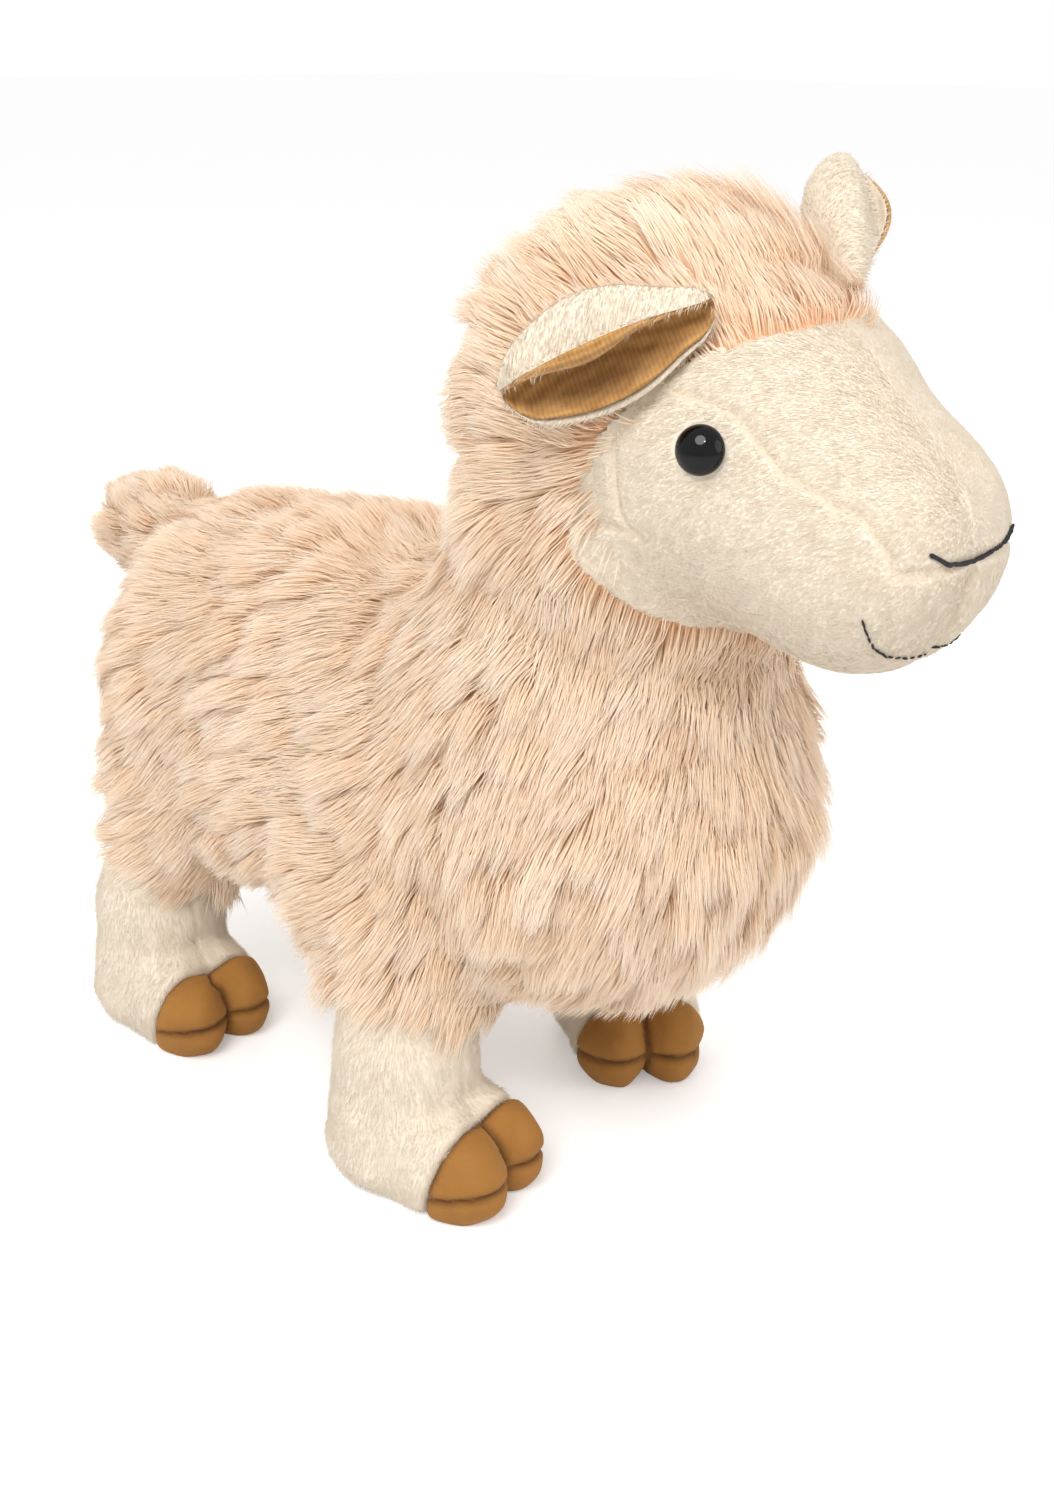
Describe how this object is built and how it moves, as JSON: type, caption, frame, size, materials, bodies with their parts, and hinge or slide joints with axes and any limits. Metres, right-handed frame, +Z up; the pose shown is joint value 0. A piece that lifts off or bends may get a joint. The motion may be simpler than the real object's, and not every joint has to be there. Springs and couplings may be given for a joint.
{
  "type": "plush llama",
  "caption": "Standing plush llama with long peach fleece, a short-pile cream face, ears and legs, cloven suede hooves, dome eyes and fibre stuffing.",
  "frame": {"origin": "on the floor under the middle of the llama's bounding box", "axes": "+Z up; the llama faces -Y, with its tail towards +Y; its right side is -X"},
  "size_m": [0.1586, 0.3658, 0.2953],
  "materials": {
    "peach_fleece": "long shaggy pile with paler tips",
    "cream_plush": "short velvety pile",
    "brown_suede": "short-nap imitation suede",
    "tan_lining": "fine ribbed knit",
    "black_eye": "glossy",
    "white_plastic": "plain moulded",
    "black_thread": "sewing thread",
    "white_fibre": "loose fibre"
  },
  "bodies": {
    "root": {"body_fleece": "peach_fleece", "ear_left_back": "cream_plush", "ear_left_lining": "tan_lining", "ear_right_back": "cream_plush", "ear_right_lining": "tan_lining", "eye_left": "black_eye", "eye_left_washer": "white_plastic", "eye_right": "black_eye", "eye_right_washer": "white_plastic", "face_bridge_panel": "cream_plush", "face_left_panel": "cream_plush", "face_right_panel": "cream_plush", "hoof_front_left_sole_inner": "brown_suede", "hoof_front_left_sole_outer": "brown_suede", "hoof_front_left_upper_inner": "brown_suede", "hoof_front_left_upper_outer": "brown_suede", "hoof_front_right_sole_inner": "brown_suede", "hoof_front_right_sole_outer": "brown_suede", "hoof_front_right_upper_inner": "brown_suede", "hoof_front_right_upper_outer": "brown_suede", "hoof_hind_left_sole_inner": "brown_suede", "hoof_hind_left_sole_outer": "brown_suede", "hoof_hind_left_upper_inner": "brown_suede", "hoof_hind_left_upper_outer": "brown_suede", "hoof_hind_right_sole_inner": "brown_suede", "hoof_hind_right_sole_outer": "brown_suede", "hoof_hind_right_upper_inner": "brown_suede", "hoof_hind_right_upper_outer": "brown_suede", "leg_front_left": "cream_plush", "leg_front_right": "cream_plush", "leg_hind_left": "cream_plush", "leg_hind_right": "cream_plush", "mouth_stitching": "black_thread", "nose_stitching": "black_thread", "stuffing_body": "white_fibre", "stuffing_leg_front_left": "white_fibre", "stuffing_leg_front_right": "white_fibre", "stuffing_leg_hind_left": "white_fibre", "stuffing_leg_hind_right": "white_fibre", "stuffing_tail": "white_fibre", "tail_fleece": "peach_fleece"}
  },
  "joints": []
}
